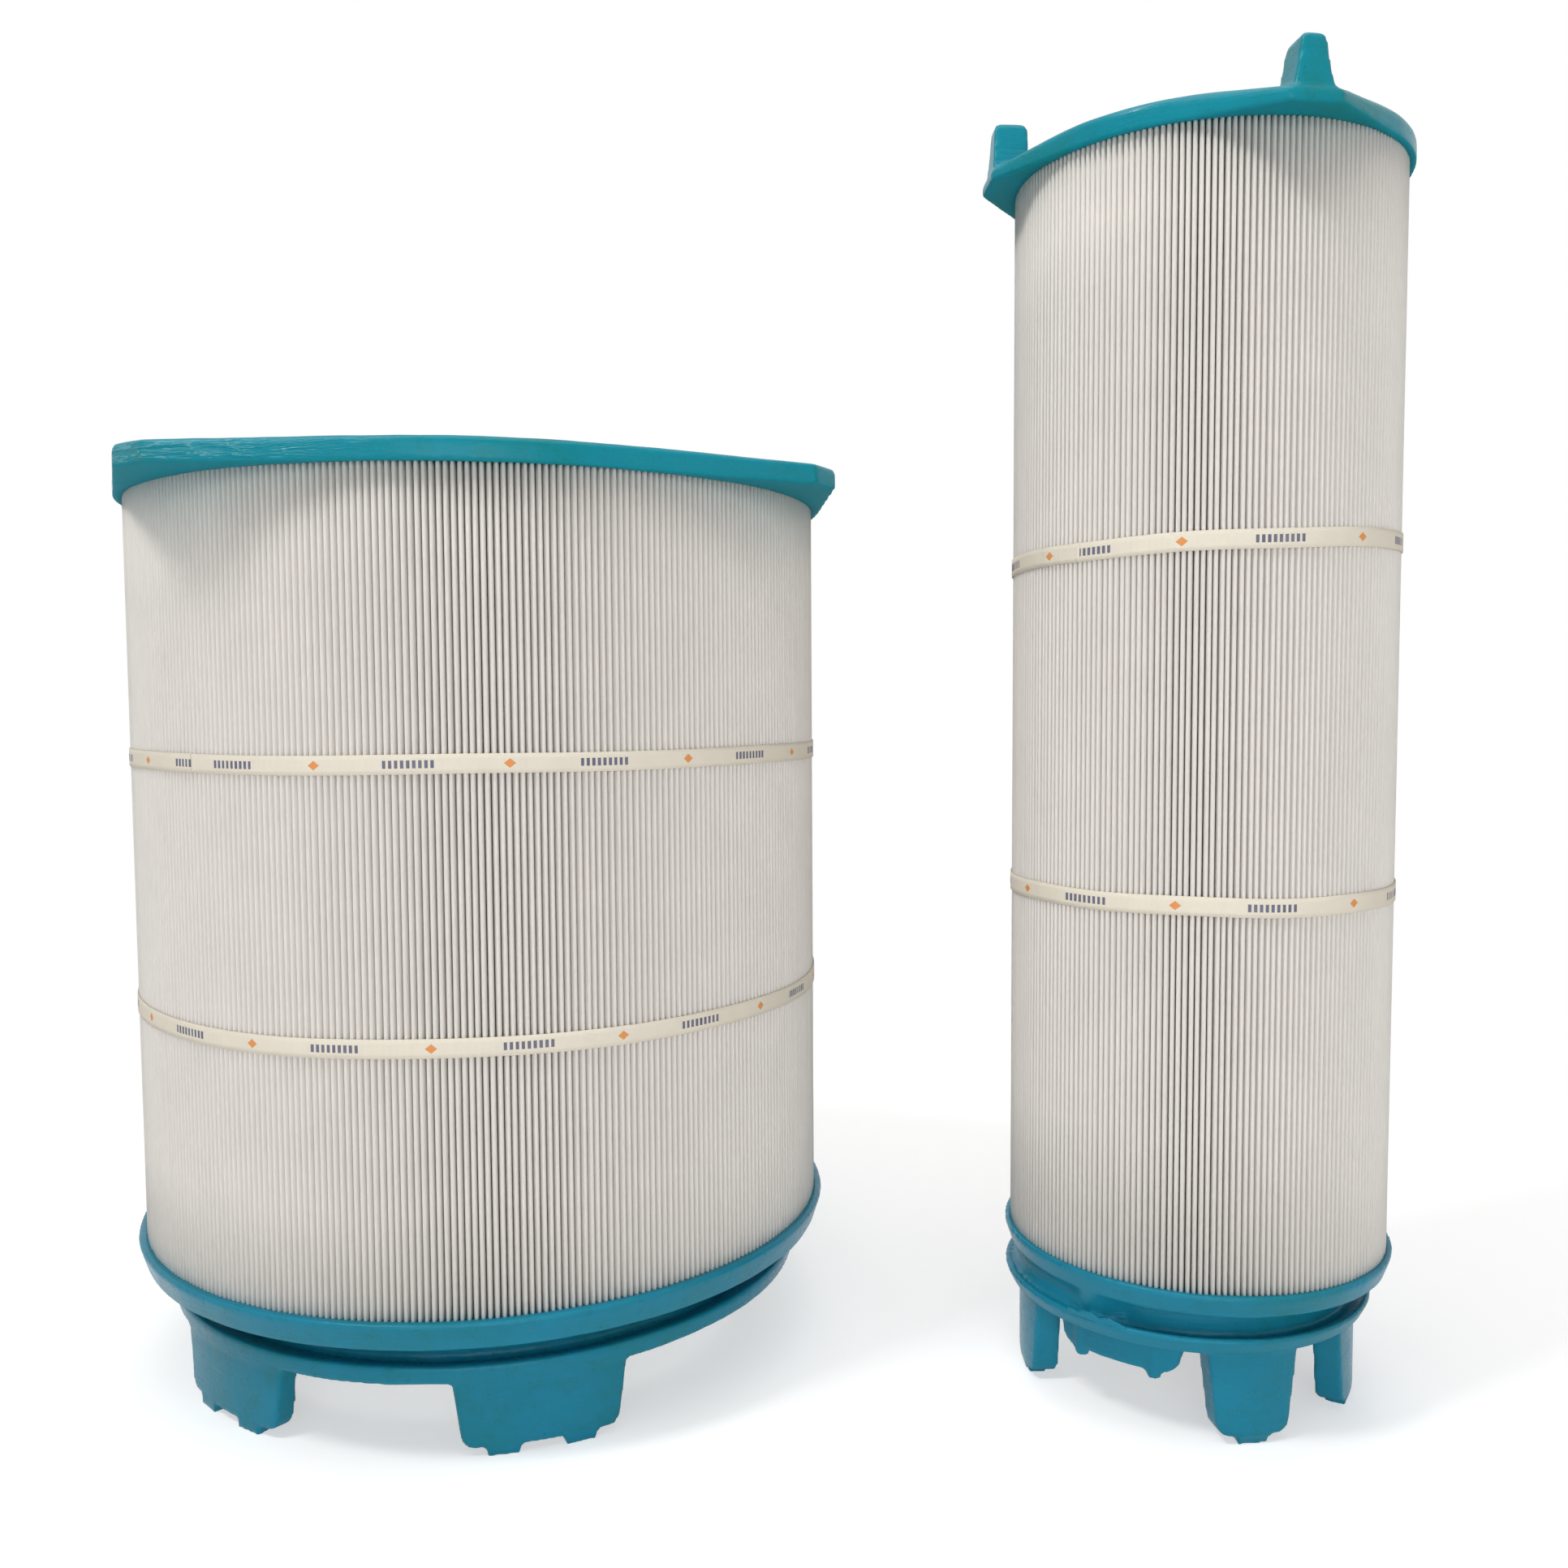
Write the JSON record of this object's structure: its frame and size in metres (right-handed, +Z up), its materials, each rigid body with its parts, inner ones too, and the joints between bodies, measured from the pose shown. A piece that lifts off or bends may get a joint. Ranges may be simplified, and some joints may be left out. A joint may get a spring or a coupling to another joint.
{
  "type": "pool filter cartridge set",
  "caption": "Pool filter cartridge set: a wide outer and a slim inner pleated module, each with a core, straps, cast end caps, lip seal and feet; the inner has lifting lugs.",
  "frame": {"origin": "on the floor, in the middle of the pair's footprint", "axes": "+Z up along both modules' axes, +X from the outer to the inner module, -Y to the viewer"},
  "size_m": [0.957, 0.5753, 0.909],
  "materials": {
    "cap_casting": "satin cast polyurethane, teal",
    "pleated_fabric": "matte spunbonded polyester, off-white",
    "core_plastic": "moulded plastic, white",
    "band_fabric": "smooth woven tape, cream"
  },
  "bodies": {
    "outer_module": {"outer_top_cap": "cap_casting", "outer_bottom_cap": "cap_casting", "outer_media": "pleated_fabric", "outer_core": "core_plastic", "outer_upper_band": "band_fabric", "outer_lower_band": "band_fabric"},
    "inner_module": {"inner_top_cap": "cap_casting", "inner_bottom_cap": "cap_casting", "inner_media": "pleated_fabric", "inner_core": "core_plastic", "inner_upper_band": "band_fabric", "inner_lower_band": "band_fabric"}
  },
  "joints": [
    {"name": "inner_lift", "type": "slide", "parent": "outer_module", "child": "inner_module", "axis": [0, 0, 1], "range_m": [0, 0.7]}
  ]
}
